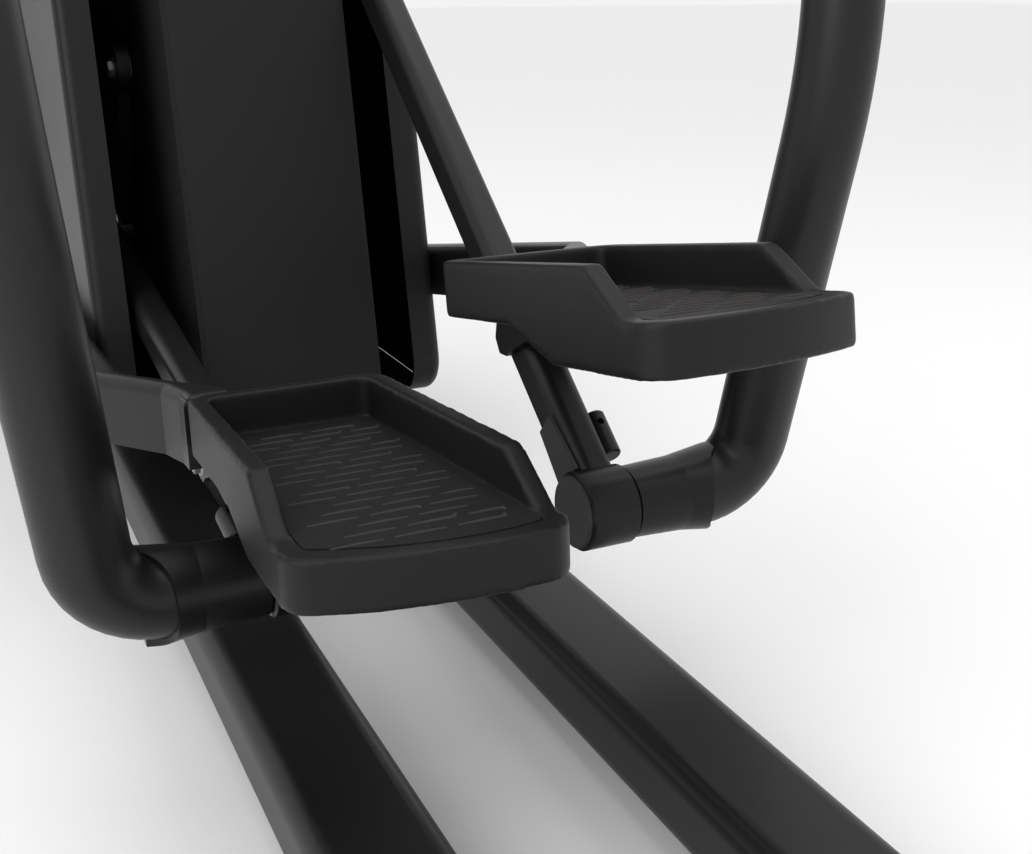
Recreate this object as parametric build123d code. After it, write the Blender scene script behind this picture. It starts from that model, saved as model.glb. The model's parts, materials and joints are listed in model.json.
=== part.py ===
from build123d import *
import math
import os

# Elliptical trainer. Millimetres, +Z up, +Y forward, +X to the user's right.
# The origin lies on the floor in the machine's middle plane.

os.makedirs("parts", exist_ok=True)

# --- driving dimensions -------------------------------------------------------------
SOLID_GAP = 0.3            # between different bodies' faces that pass each other
SEAT_GAP = 0.1             # between curved faces of one body
RUN_GAP = 0.05             # radial clearance of a shaft in its bush or bearing

RAIL_INNER_X = 92.0
RAIL_WIDTH = 99.0
RAIL_HEIGHT = 70.0
RAIL_WALL = 3.0
RAIL_BOTTOM = 30.0
RAIL_ROUND = 18.0
REAR_FOOT_Y = -900.0
FRONT_FOOT_Y = 822.0
CROSS_FOOT_DEPTH = 80.0
CROSS_FOOT_LENGTH = 620.0
CROSS_FOOT_ROUND = 16.0
END_CAP_LENGTH = 18.0
END_CAP_ROUND = 8.0
CROSSMEMBER_DEPTH = 100.0
LEVELLER_DIAMETER = 50.0
LEVELLER_PAD = 12.0
LEVELLER_STEM = 12.0
LEVELLER_X = 250.0

WHEEL_DIAMETER = 64.0
WHEEL_WIDTH = 24.0
WHEEL_BORE = 10.0
WHEEL_X = 180.0
WHEEL_Z = 46.0
WHEEL_REACH = 46.0         # axle ahead of the front foot's front face
FORK_PLATE = 5.0
FORK_HEIGHT = 28.0
FORK_CLEARANCE = 2.0       # between the wheel's side and its fork
WHEEL_EDGE_ROUND = 4.0

MAST_Y = 600.0
MAST_WIDTH = 60.0
MAST_DEPTH = 60.0
MAST_WALL = 3.0
MAST_BEND_Z = 1030.0

SWING_PIVOT_Y = 0.0
SWING_PIVOT_Z = 1240.0
SWING_AXLE_DIAMETER = 25.0
CROSSBAR_DIAMETER = 60.0
CROSSBAR_END_GAP = 4.0
ARM_DIAMETER = 68.0
ARM_WALL = 3.0
ARM_X = 346.0
ARM_OUTWARD_LEAN = 51.0    # how much further out the arm stands at its bow than at its foot
ARM_BOSS_LENGTH = 64.0
ARM_BOSS_DIAMETER = 66.0
BUSH_WALL = 7.0

HUB_Y = -395.0
HUB_Z = 228.0
HUB_DIAMETER = 72.0
HUB_IN_X = 117.0
HUB_OUT_X = 166.0
HUB_CAP_THICKNESS = 4.0
SPINDLE_DIAMETER = 30.0
SLEEVE_OUT_X = 262.0
SLEEVE_SMALL_DIAMETER = 66.0
SLEEVE_LARGE_DIAMETER = 82.0
ARM_SOCKET_X = 232.0
SCALLOP_RADIUS = 52.0      # rear cut-out of the sleeve's mouth

ROD_LENGTH = 900.0
ROD_X = 145.0
ROD_WIDTH = 36.0
ROD_DEPTH = 46.0
ROD_WALL = 3.0
ROD_ROUND = 12.0
ROD_EYE_DIAMETER = 60.0
CRANK_PIN_DIAMETER = 30.0
PIN_SHORTFALL = 1.0
ROD_ANGLE = {"right": 38.7, "left": 8.0}
PEDAL_PITCH = {"right": -10.7, "left": -5.0}

CRANK_ARM_THICKNESS = 16.0
CRANK_ARM_WIDTH = 54.0
CRANK_AXLE_DIAMETER = 30.0
CRANK_BOSS_DIAMETER = 64.0
WEB_SHARE = 0.8            # a link's web against the width of its ends
BEARING_DIAMETER = 62.0
BEARING_WIDTH = 16.0
HOUSING_DIAMETER = 84.0
HOUSING_HALF = 36.0

DRIVE_PLANE_X = -58.0      # belt, pulley rim and flywheel boss
BELT_WIDTH = 14.0
BELT_THICKNESS = 4.0
PULLEY_DIAMETER = 340.0
FLYWHEEL_Y = 705.0
FLYWHEEL_Z = 330.0
FLYWHEEL_DIAMETER = 220.0
FLYWHEEL_THICKNESS = 26.0
FLYWHEEL_BOSS_DIAMETER = 60.0
FLYWHEEL_AXLE_DIAMETER = 20.0

PANEL_Y = 80.0             # casing's rear face at PANEL_Z
PANEL_Z = 260.0
CASING_LEAN = 12.3         # rear face leans forward, degrees
CASING_HALF_WIDTH = 105.0
CASING_WALL = 4.0
CASING_TOP = 940.0
CASING_FRONT_Y = 830.0
SHELL_SETBACK = 62.0       # side shell's rear rim ahead of the rear panel
SHELL_BOTTOM = 168.0
SHELL_OUTER_X = 210.0
SHELL_RIM_X = 171.0
SHELL_FRONT_Y = 800.0

CARRIAGE_ALONG_ROD = 195.0
CARRIAGE_PIN_DIAMETER = 16.0
CHEEK_THICKNESS = 7.0
CHEEK_GAP = 2.0
TOE_BEHIND_PIVOT = 82.0
RIM_ABOVE_PIVOT = 84.0
CARRIAGE_NOSE = 18.0       # how far the cheeks reach ahead of their pin

PEDAL_X = 109.0
PEDAL_HEEL_WIDTH = 193.0
PEDAL_TOE_WIDTH = 175.0
PEDAL_IN_LENGTH = 361.0
PEDAL_OUT_LENGTH = 331.0
PEDAL_RIM_WIDTH = 17.0
PEDAL_TOE_DEPTH = 48.0
PEDAL_LIP_DROP = 35.0
PEDAL_HEEL_SKIRT = 38.0
PEDAL_IN_WALL = 280.0
PEDAL_OUT_WALL = 243.0
PEDAL_WALL_RAMP = 48.0
PEDAL_FLOOR = 9.0
TREAD_THICKNESS = 3.0
TREAD_GAP = 1.0

BEAM_ROOT_WIDTH = 45.0
BEAM_NOSE = 30.0
BEAM_WIDTH = 38.0
BEAM_HEIGHT = 64.0
BEAM_IN_X = 222.0
BEAM_WALL = 3.0
BEAM_PIN_AHEAD = 950.0     # front pin ahead of the carriage pivot, along the pedal
BEAM_TOP_DROP = 1.0        # beam's top below the pedal's rim
BEAM_ROUND = 11.0

ROCKER_Y = 721.5
ROCKER_Z = 680.0
ROCKER_THICKNESS = 14.0
ROCKER_WIDTH = 46.0
ROCKER_PIN_DIAMETER = 16.0
ROCKER_AXLE_DIAMETER = 24.0
ROCKER_SIDE_GAP = 4.0

HANDLE_DIAMETER = 34.0
GRIP_DIAMETER = 40.0
FIXED_BAR_X = 205.0
FIXED_BAR_Z = 1345.0
FIXED_BAR_REACH = 190.0
FIXED_BAR_LIFT = 40.0
FIXED_BAR_BEND = 60.0
FIXED_GRIP_LENGTH = 120.0
FIXED_GRIP_BACK = 128.0    # the grips' middle behind the bar's bend
CONSOLE_WIDTH = 300.0
CONSOLE_HEIGHT = 220.0
CONSOLE_DEPTH = 46.0
CONSOLE_TILT = 28.0
CONSOLE_CORNER = 28.0
CONSOLE_EDGE = 9.0
SCREEN_MARGIN_X = 60.0
SCREEN_MARGIN_Z = 80.0
SCREEN_RISE = 12.0         # screen's middle above the console's
SCREEN_POCKET = 4.0
SCREEN_THICKNESS = 3.0
SCREEN_GAP = 0.5
BRACKET_WIDTH = 50.0
BRACKET_DEPTH = 36.0
CONSOLE_Y = 45.0
CONSOLE_Z = 1500.0

# --- worked-out places --------------------------------------------------------------
RAIL_TOP = RAIL_BOTTOM + RAIL_HEIGHT
RAIL_CENTRE_X = RAIL_INNER_X + RAIL_WIDTH / 2
CRANK_ARM_IN_X = CASING_HALF_WIDTH + 3.0
CRANK_ARM_OUT_X = CRANK_ARM_IN_X + CRANK_ARM_THICKNESS
ROD_IN_X = ROD_X - ROD_WIDTH / 2
ROD_OUT_X = ROD_X + ROD_WIDTH / 2
BEAM_OUT_X = BEAM_IN_X + BEAM_WIDTH
ROCKER_IN_X = BEAM_OUT_X + ROCKER_SIDE_GAP
ROCKER_OUT_X = ROCKER_IN_X + ROCKER_THICKNESS


def polar(y, z, distance, angle):
    """The point at this distance from (y, z), angle degrees above forward."""
    turn = math.radians(angle)
    return y + distance * math.cos(turn), z + distance * math.sin(turn)


PIN_PLACE = {side: polar(HUB_Y, HUB_Z, ROD_LENGTH, ROD_ANGLE[side]) for side in ROD_ANGLE}
CRANK_Y = (PIN_PLACE["right"][0] + PIN_PLACE["left"][0]) / 2
CRANK_Z = (PIN_PLACE["right"][1] + PIN_PLACE["left"][1]) / 2
CRANK_RADIUS = math.dist(PIN_PLACE["right"], PIN_PLACE["left"]) / 2


# --- helpers ------------------------------------------------------------------------
def block(x0, x1, y0, y1, z0, z1):
    centre = Pos((x0 + x1) / 2, (y0 + y1) / 2, (z0 + z1) / 2)
    return centre * Box(x1 - x0, y1 - y0, z1 - z0)


def rod_x(diameter, x0, x1, y=0.0, z=0.0):
    return Pos((x0 + x1) / 2, y, z) * Rot(0, 90, 0) * Cylinder(diameter / 2, x1 - x0)


def ring_x(outer, inner, x0, x1, y=0.0, z=0.0):
    return rod_x(outer, x0, x1, y, z) - rod_x(inner, x0 - 1, x1 + 1, y, z)


def side_plate(points, x0, x1, round_radius=0.0):
    """A flat piece whose outline is given in (y, z), between two x values."""
    face = make_face(Polyline(*points, close=True))
    if round_radius:
        face = fillet(face.vertices(), round_radius)
    return extrude(Plane.YZ.offset(x0) * face, amount=x1 - x0)


def tube_y(width, height, wall, corner, y0, y1, x, z):
    """A rounded rectangular tube along Y."""
    plane = Plane(origin=(x, y0, z), x_dir=(-1, 0, 0), z_dir=(0, 1, 0))
    outer = extrude(plane * RectangleRounded(width, height, corner), amount=y1 - y0)
    hollow = RectangleRounded(width - 2 * wall, height - 2 * wall, corner - wall)
    return outer - extrude(plane * hollow, amount=y1 - y0)


def swept(path, diameter):
    start = Plane(origin=path @ 0, z_dir=path % 0)
    return sweep(start * Circle(diameter / 2), path=path)


def on_side(part, side):
    return part if side == "right" else mirror(part, about=Plane.YZ)


def both_sides(part):
    return Compound(children=[part, mirror(part, about=Plane.YZ)])


def save(name, part):
    export_step(part, f"parts/{name}.step")


# --- base ---------------------------------------------------------------------------
def rails():
    start = REAR_FOOT_Y + CROSS_FOOT_DEPTH / 2
    end = FRONT_FOOT_Y - CROSS_FOOT_DEPTH / 2
    centre_z = RAIL_BOTTOM + RAIL_HEIGHT / 2
    rail = tube_y(RAIL_WIDTH, RAIL_HEIGHT, RAIL_WALL, RAIL_ROUND, start, end, RAIL_CENTRE_X, centre_z)
    return both_sides(rail)


def foot_section(x, y):
    """The plane across a cross-foot at this x, centred on its section."""
    return Plane(origin=(x, y, RAIL_BOTTOM + RAIL_HEIGHT / 2), x_dir=(0, 1, 0), z_dir=(1, 0, 0))


def cross_foot(y):
    plane = foot_section(-CROSS_FOOT_LENGTH / 2, y)
    outer = RectangleRounded(CROSS_FOOT_DEPTH, RAIL_HEIGHT, CROSS_FOOT_ROUND)
    inset = 2 * RAIL_WALL
    inner = RectangleRounded(CROSS_FOOT_DEPTH - inset, RAIL_HEIGHT - inset, CROSS_FOOT_ROUND - RAIL_WALL)
    return extrude(plane * outer, amount=CROSS_FOOT_LENGTH) - extrude(plane * inner, amount=CROSS_FOOT_LENGTH)


def front_cross_foot():
    foot = cross_foot(FRONT_FOOT_Y)
    face_y = FRONT_FOOT_Y + CROSS_FOOT_DEPTH / 2
    axle_y = wheel_axle_y()
    for middle in (-WHEEL_X, WHEEL_X):
        for hand in (-1, 1):
            near = middle + hand * (WHEEL_WIDTH / 2 + FORK_CLEARANCE)
            far = near + hand * FORK_PLATE
            low, high = min(near, far), max(near, far)
            cheek = block(low, high, face_y, axle_y, WHEEL_Z - FORK_HEIGHT / 2, WHEEL_Z + FORK_HEIGHT / 2)
            cheek += rod_x(FORK_HEIGHT, low, high, axle_y, WHEEL_Z)
            cheek -= rod_x(WHEEL_BORE + SEAT_GAP, low - 1, high + 1, axle_y, WHEEL_Z)
            foot += cheek
    return foot


def foot_end_cap(y):
    plane = foot_section(CROSS_FOOT_LENGTH / 2, y)
    face = RectangleRounded(CROSS_FOOT_DEPTH, RAIL_HEIGHT, CROSS_FOOT_ROUND)
    cap = extrude(plane * face, amount=END_CAP_LENGTH)
    return fillet(cap.faces().sort_by(Axis.X)[-1].edges(), END_CAP_ROUND)


def foot_end_caps():
    caps = [foot_end_cap(REAR_FOOT_Y), foot_end_cap(FRONT_FOOT_Y)]
    return Compound(children=caps + [mirror(cap, about=Plane.YZ) for cap in caps])


def levelling_feet():
    feet = []
    for y in (REAR_FOOT_Y, FRONT_FOOT_Y):
        for x in (-LEVELLER_X, LEVELLER_X):
            pad = Pos(x, y, LEVELLER_PAD / 2) * Cylinder(LEVELLER_DIAMETER / 2, LEVELLER_PAD)
            stem_middle = (LEVELLER_PAD + RAIL_BOTTOM) / 2
            stem = Pos(x, y, stem_middle) * Cylinder(LEVELLER_STEM / 2, RAIL_BOTTOM - LEVELLER_PAD)
            feet.append(pad + stem)
    return Compound(children=feet)


def wheel_axle_y():
    return FRONT_FOOT_Y + CROSS_FOOT_DEPTH / 2 + WHEEL_REACH


def transport_wheel(side):
    half = WHEEL_WIDTH / 2
    wheel = rod_x(WHEEL_DIAMETER, WHEEL_X - half, WHEEL_X + half, wheel_axle_y(), WHEEL_Z)
    wheel = fillet(wheel.edges().filter_by(GeomType.CIRCLE), WHEEL_EDGE_ROUND)
    bore = rod_x(WHEEL_BORE + 2 * RUN_GAP, WHEEL_X - half - 1, WHEEL_X + half + 1, wheel_axle_y(), WHEEL_Z)
    return on_side(wheel - bore, side)


def wheel_axles():
    reach = WHEEL_WIDTH / 2 + FORK_CLEARANCE + FORK_PLATE
    return both_sides(rod_x(WHEEL_BORE, WHEEL_X - reach, WHEEL_X + reach, wheel_axle_y(), WHEEL_Z))


def base_crossmember():
    half = CROSSMEMBER_DEPTH / 2
    return block(-RAIL_INNER_X, RAIL_INNER_X, MAST_Y - half, MAST_Y + half, RAIL_BOTTOM, RAIL_TOP)


# --- mast and top -------------------------------------------------------------------
def mast_box(inset):
    """The mast's outer or, with an inset, inner body: upright, then leaning back to the crossbar."""
    width = MAST_WIDTH - 2 * inset
    half = MAST_DEPTH / 2 - inset
    lean = math.atan2(SWING_PIVOT_Z - MAST_BEND_Z, MAST_Y - SWING_PIVOT_Y)
    miter = half * math.tan((math.pi / 2 - lean) / 2)
    side_y, side_z = math.sin(lean) * half, math.cos(lean) * half
    outline = [
        (MAST_Y - half, RAIL_TOP),
        (MAST_Y + half, RAIL_TOP),
        (MAST_Y + half, MAST_BEND_Z + miter),
        (SWING_PIVOT_Y + side_y, SWING_PIVOT_Z + side_z),
        (SWING_PIVOT_Y - side_y, SWING_PIVOT_Z - side_z),
        (MAST_Y - half, MAST_BEND_Z - miter),
    ]
    return side_plate(outline, -width / 2, width / 2)


def mast():
    """The mast, with the crossbar for the swing arms' axle welded across its top."""
    end_x = ARM_X - ARM_BOSS_LENGTH / 2 - CROSSBAR_END_GAP
    crossbar = rod_x(CROSSBAR_DIAMETER, -end_x, end_x, SWING_PIVOT_Y, SWING_PIVOT_Z)
    bore = rod_x(SWING_AXLE_DIAMETER + 2 * SEAT_GAP, -end_x - 1, end_x + 1, SWING_PIVOT_Y, SWING_PIVOT_Z)
    return mast_box(0.0) - mast_box(MAST_WALL) + crossbar - bore


def swing_axle():
    end_x = ARM_X + ARM_BOSS_LENGTH / 2
    return rod_x(SWING_AXLE_DIAMETER, -end_x, end_x, SWING_PIVOT_Y, SWING_PIVOT_Z)


def console_bracket():
    foot_y = SWING_PIVOT_Y
    foot_z = SWING_PIVOT_Z + CROSSBAR_DIAMETER / 2
    half = BRACKET_WIDTH / 2
    half_depth = BRACKET_DEPTH / 2
    stem = block(-half, half, foot_y - half_depth, foot_y + half_depth, foot_z - 4, CONSOLE_Z - 60)
    bar_hole = rod_x(HANDLE_DIAMETER + 2 * SEAT_GAP, -half - 1, half + 1, foot_y, FIXED_BAR_Z)
    clear_bar = rod_x(CROSSBAR_DIAMETER + 2 * SEAT_GAP, -half - 1, half + 1, SWING_PIVOT_Y, SWING_PIVOT_Z)
    clear_bar += mast_box(-SEAT_GAP)
    clear_console = console_turn() * Box(CONSOLE_WIDTH, CONSOLE_DEPTH + 2 * SEAT_GAP, CONSOLE_HEIGHT)
    return stem - bar_hole - clear_bar - clear_console


def console_turn():
    return Pos(0, CONSOLE_Y, CONSOLE_Z) * Rot(-CONSOLE_TILT, 0, 0)


def console_housing():
    body = Box(CONSOLE_WIDTH, CONSOLE_DEPTH, CONSOLE_HEIGHT)
    body = fillet(body.edges().filter_by(Axis.Y), CONSOLE_CORNER)
    body = fillet(body.faces().sort_by(Axis.Y)[-1].edges(), CONSOLE_EDGE)
    pocket = Box(CONSOLE_WIDTH - SCREEN_MARGIN_X, 2 * SCREEN_POCKET, CONSOLE_HEIGHT - SCREEN_MARGIN_Z)
    return console_turn() * (body - Pos(0, -CONSOLE_DEPTH / 2, SCREEN_RISE) * pocket)


def console_screen():
    width = CONSOLE_WIDTH - SCREEN_MARGIN_X - 2 * SCREEN_GAP
    height = CONSOLE_HEIGHT - SCREEN_MARGIN_Z - 2 * SCREEN_GAP
    pane = Box(width, SCREEN_THICKNESS, height)
    middle_y = -CONSOLE_DEPTH / 2 + SCREEN_POCKET - SCREEN_THICKNESS / 2
    return console_turn() * Pos(0, middle_y, SCREEN_RISE) * pane


def fixed_bar_path():
    front_y = SWING_PIVOT_Y
    rear_y = front_y - FIXED_BAR_REACH
    rear_z = FIXED_BAR_Z + FIXED_BAR_LIFT
    return FilletPolyline(
        (-FIXED_BAR_X, rear_y, rear_z),
        (-FIXED_BAR_X, front_y, FIXED_BAR_Z),
        (FIXED_BAR_X, front_y, FIXED_BAR_Z),
        (FIXED_BAR_X, rear_y, rear_z),
        radius=FIXED_BAR_BEND,
    )


def fixed_handlebar():
    return swept(fixed_bar_path(), HANDLE_DIAMETER - 2.0)


def fixed_grips():
    lift_angle = math.degrees(math.atan2(FIXED_BAR_LIFT, FIXED_BAR_REACH))
    ring = Cylinder(GRIP_DIAMETER / 2, FIXED_GRIP_LENGTH) - Cylinder(HANDLE_DIAMETER / 2, FIXED_GRIP_LENGTH)
    middle_y, middle_z = polar(SWING_PIVOT_Y, FIXED_BAR_Z, -FIXED_GRIP_BACK, -lift_angle)
    grip = Pos(FIXED_BAR_X, middle_y, middle_z) * Rot(90 - lift_angle, 0, 0) * ring
    return both_sides(grip)


# --- casing -------------------------------------------------------------------------
def rear_face_y(z, setback=0.0):
    return PANEL_Y + setback + (z - PANEL_Z) * math.tan(math.radians(CASING_LEAN))


def central_outline(inset):
    top = CASING_TOP - inset
    low = RAIL_TOP + SEAT_GAP
    front = CASING_FRONT_Y - inset
    return [
        (rear_face_y(low, inset), low),
        (front, low),
        (front, 520.0),
        (front - 110.0, top),
        (rear_face_y(top, inset), top),
    ]


def casing_openings():
    """The axle's, the mast's and the flywheel frame's ways out of the central casing."""
    axle = rod_x(CRANK_AXLE_DIAMETER + 8, -CASING_HALF_WIDTH - 1, CASING_HALF_WIDTH + 1, CRANK_Y, CRANK_Z)
    half_width = MAST_WIDTH / 2 + 3
    half_depth = MAST_DEPTH / 2 + 3
    back, front = MAST_Y - half_depth, MAST_Y + half_depth
    mast_way = block(-half_width, half_width, back, front, CASING_TOP - 10, CASING_TOP + 1)
    rockers = rod_x(34, -CASING_HALF_WIDTH - 1, CASING_HALF_WIDTH + 1, ROCKER_Y, ROCKER_Z)
    return axle + mast_way + rockers


def central_casing():
    outer = side_plate(central_outline(0.0), -CASING_HALF_WIDTH, CASING_HALF_WIDTH)
    inner_half = CASING_HALF_WIDTH - CASING_WALL
    inner_points = central_outline(CASING_WALL)
    inner_points[0] = (inner_points[0][0], RAIL_TOP - 1)
    inner_points[1] = (inner_points[1][0], RAIL_TOP - 1)
    inner = side_plate(inner_points, -inner_half, inner_half)
    return outer - inner - casing_openings() - rear_panel_block(SEAT_GAP)


def rear_panel_block(gap):
    """The smooth panel let into the casing's rear face; gap widens it for the opening."""
    low, high = RAIL_TOP + 30.0 - gap, CASING_TOP - 40.0 + gap
    depth = CASING_WALL + 2 * gap
    half = CASING_HALF_WIDTH - 6.0 + gap
    outline = [
        (rear_face_y(low, -gap), low),
        (rear_face_y(low, depth - gap), low),
        (rear_face_y(high, depth - gap), high),
        (rear_face_y(high, -gap), high),
    ]
    return side_plate(outline, -half, half)


def rear_panel():
    return rear_panel_block(0.0)


def shell_outline(inset):
    low = SHELL_BOTTOM + inset
    top = CASING_TOP - inset
    front = SHELL_FRONT_Y - inset
    return [
        (rear_face_y(low, SHELL_SETBACK + inset), low),
        (front, low),
        (front, 540.0),
        (front - 95.0, top),
        (rear_face_y(top, SHELL_SETBACK + inset), top),
    ]


def side_shell(side):
    inner_x = CASING_HALF_WIDTH + SEAT_GAP
    outer = side_plate(shell_outline(0.0), inner_x, SHELL_OUTER_X, 45.0)
    outer = fillet(outer.faces().sort_by(Axis.X)[-1].edges(), 14.0)
    cavity = side_plate(shell_outline(CASING_WALL), inner_x - 1, SHELL_OUTER_X - CASING_WALL, 40.0)
    mouth_low, mouth_high = SHELL_BOTTOM + 12.0, CASING_TOP - 12.0
    mouth = side_plate(
        [
            (rear_face_y(mouth_low, SHELL_SETBACK - 40), mouth_low),
            (rear_face_y(mouth_low, SHELL_SETBACK + 60), mouth_low),
            (rear_face_y(mouth_high, SHELL_SETBACK + 60), mouth_high),
            (rear_face_y(mouth_high, SHELL_SETBACK - 40), mouth_high),
        ],
        inner_x - 1,
        SHELL_RIM_X,
    )
    rocker_way = rod_x(34, SHELL_OUTER_X - 20, SHELL_OUTER_X + 1, ROCKER_Y, ROCKER_Z)
    return on_side(outer - cavity - mouth - rocker_way, side)


# --- drive --------------------------------------------------------------------------
def drive_frame():
    mast_back = MAST_Y - MAST_DEPTH / 2
    mast_front = MAST_Y + MAST_DEPTH / 2
    arm = block(-25, 25, CRANK_Y, mast_back, CRANK_Z - 30, CRANK_Z + 30)
    housing = rod_x(HOUSING_DIAMETER, -HOUSING_HALF, HOUSING_HALF, CRANK_Y, CRANK_Z)
    bore = rod_x(BEARING_DIAMETER + 2 * RUN_GAP, -HOUSING_HALF - 1, HOUSING_HALF + 1, CRANK_Y, CRANK_Z)
    plate = block(-40, -30, mast_back, FLYWHEEL_Y + 25, FLYWHEEL_Z - 30, FLYWHEEL_Z + 30)
    web = block(-30, 30, mast_front, mast_front + 8, FLYWHEEL_Z - 30, FLYWHEEL_Z + 30)
    axle_hole = rod_x(FLYWHEEL_AXLE_DIAMETER + 2 * SEAT_GAP, -41, -29, FLYWHEEL_Y, FLYWHEEL_Z)
    return Compound(children=[arm + housing - bore, plate + web - axle_hole])


def crank_bearings():
    inner = CRANK_AXLE_DIAMETER + 2 * RUN_GAP
    start = HOUSING_HALF - BEARING_WIDTH
    return both_sides(ring_x(BEARING_DIAMETER, inner, start, HOUSING_HALF, CRANK_Y, CRANK_Z))


def crank_axle():
    return rod_x(CRANK_AXLE_DIAMETER, -CRANK_ARM_OUT_X, CRANK_ARM_OUT_X, CRANK_Y, CRANK_Z)


def crank_arm(side):
    pin_y, pin_z = PIN_PLACE[side]
    middle_y, middle_z = (CRANK_Y + pin_y) / 2, (CRANK_Z + pin_z) / 2
    tilt = math.degrees(math.atan2(pin_z - CRANK_Z, pin_y - CRANK_Y))
    thickness = CRANK_ARM_THICKNESS
    middle_x = (CRANK_ARM_IN_X + CRANK_ARM_OUT_X) / 2
    web = Box(thickness, CRANK_RADIUS, CRANK_ARM_WIDTH * WEB_SHARE)
    bar = Pos(middle_x, middle_y, middle_z) * Rot(tilt, 0, 0) * web
    bar += rod_x(CRANK_BOSS_DIAMETER, CRANK_ARM_IN_X, CRANK_ARM_OUT_X, CRANK_Y, CRANK_Z)
    bar += rod_x(CRANK_ARM_WIDTH, CRANK_ARM_IN_X, CRANK_ARM_OUT_X, pin_y, pin_z)
    seat = CRANK_AXLE_DIAMETER + 2 * SEAT_GAP
    bar -= rod_x(seat, CRANK_ARM_IN_X - 1, CRANK_ARM_OUT_X + 1, CRANK_Y, CRANK_Z)
    return on_side(bar, side)


def drive_pulley():
    low, high = DRIVE_PLANE_X - BELT_WIDTH / 2 - 1, DRIVE_PLANE_X + BELT_WIDTH / 2 + 1
    disc = rod_x(PULLEY_DIAMETER, low, high, CRANK_Y, CRANK_Z)
    for index in range(5):
        hole_y, hole_z = polar(CRANK_Y, CRANK_Z, PULLEY_DIAMETER * 0.3, index * 72 + 18)
        disc -= rod_x(PULLEY_DIAMETER * 0.22, low - 1, high + 1, hole_y, hole_z)
    return disc - rod_x(CRANK_AXLE_DIAMETER + 2 * SEAT_GAP, low - 1, high + 1, CRANK_Y, CRANK_Z)


def belt_loop(gap):
    """The area inside two pulleys' common tangents, each pulley grown by gap."""
    big = PULLEY_DIAMETER / 2 + gap
    small = FLYWHEEL_BOSS_DIAMETER / 2 + gap
    reach_y, reach_z = FLYWHEEL_Y - CRANK_Y, FLYWHEEL_Z - CRANK_Z
    span = math.hypot(reach_y, reach_z)
    heading = math.degrees(math.atan2(reach_z, reach_y))
    splay = math.degrees(math.acos((big - small) / span))
    corners = [
        polar(CRANK_Y, CRANK_Z, big, heading + splay),
        polar(FLYWHEEL_Y, FLYWHEEL_Z, small, heading + splay),
        polar(FLYWHEEL_Y, FLYWHEEL_Z, small, heading - splay),
        polar(CRANK_Y, CRANK_Z, big, heading - splay),
    ]
    area = make_face(Polyline(*corners, close=True))
    return area + Pos(CRANK_Y, CRANK_Z) * Circle(big) + Pos(FLYWHEEL_Y, FLYWHEEL_Z) * Circle(small)


def drive_belt():
    band = belt_loop(SOLID_GAP + BELT_THICKNESS) - belt_loop(SOLID_GAP)
    return extrude(Plane.YZ.offset(DRIVE_PLANE_X - BELT_WIDTH / 2) * band, amount=BELT_WIDTH)


def flywheel():
    boss_low, boss_high = DRIVE_PLANE_X - BELT_WIDTH / 2 - 2, DRIVE_PLANE_X + BELT_WIDTH / 2 + 2
    disc = rod_x(FLYWHEEL_DIAMETER, boss_low - FLYWHEEL_THICKNESS, boss_low, FLYWHEEL_Y, FLYWHEEL_Z)
    disc += rod_x(FLYWHEEL_BOSS_DIAMETER, boss_low, boss_high, FLYWHEEL_Y, FLYWHEEL_Z)
    bore = FLYWHEEL_AXLE_DIAMETER + 2 * RUN_GAP
    return disc - rod_x(bore, boss_low - FLYWHEEL_THICKNESS - 1, boss_high + 1, FLYWHEEL_Y, FLYWHEEL_Z)


def flywheel_axle():
    outer_x = DRIVE_PLANE_X - BELT_WIDTH / 2 - 2 - FLYWHEEL_THICKNESS
    return rod_x(FLYWHEEL_AXLE_DIAMETER, outer_x, -30, FLYWHEEL_Y, FLYWHEEL_Z)


def magnet_bracket():
    """A curved brake shoe over the flywheel's rim, on an arm from the flywheel plate."""
    low = DRIVE_PLANE_X - BELT_WIDTH / 2 - 2 - FLYWHEEL_THICKNESS
    high = low + FLYWHEEL_THICKNESS
    shoe = ring_x(FLYWHEEL_DIAMETER + 28, FLYWHEEL_DIAMETER + 6, low, high, FLYWHEEL_Y, FLYWHEEL_Z)
    window = block(low - 1, high + 1, FLYWHEEL_Y - 10, FLYWHEEL_Y + 70, FLYWHEEL_Z + 60, FLYWHEEL_Z + 200)
    return shoe & window


def rocker_axles():
    reach = ROCKER_OUT_X + 6.0
    bar = rod_x(ROCKER_AXLE_DIAMETER, MAST_WIDTH / 2, ROCKER_IN_X - 2.0, ROCKER_Y, ROCKER_Z)
    bar += rod_x(ROCKER_PIN_DIAMETER, ROCKER_IN_X - 3.0, reach, ROCKER_Y, ROCKER_Z)
    back = MAST_Y + MAST_DEPTH / 2
    half_bar = ROCKER_AXLE_DIAMETER / 2
    high_x = MAST_WIDTH / 2 + half_bar
    arm = block(0, high_x, back, ROCKER_Y + half_bar, ROCKER_Z - half_bar, ROCKER_Z + half_bar)
    half = arm + bar
    return half + mirror(half, about=Plane.YZ)


# --- swing arms ---------------------------------------------------------------------
def arm_path():
    """From the hub's sleeve round the J bend, up, and forward in a bow to the top pivot."""
    return FilletPolyline(
        (ARM_SOCKET_X, HUB_Y, HUB_Z),
        (ARM_X - ARM_OUTWARD_LEAN, HUB_Y, HUB_Z),
        (ARM_X, HUB_Y - 63, 720.0),
        (ARM_X, HUB_Y + 145, 1150.0),
        (ARM_X, SWING_PIVOT_Y, SWING_PIVOT_Z),
        radius=[56.0, 600.0, 300.0],
    )


def arm_boss():
    half = ARM_BOSS_LENGTH / 2
    return rod_x(ARM_BOSS_DIAMETER, ARM_X - half, ARM_X + half, SWING_PIVOT_Y, SWING_PIVOT_Z)


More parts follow.
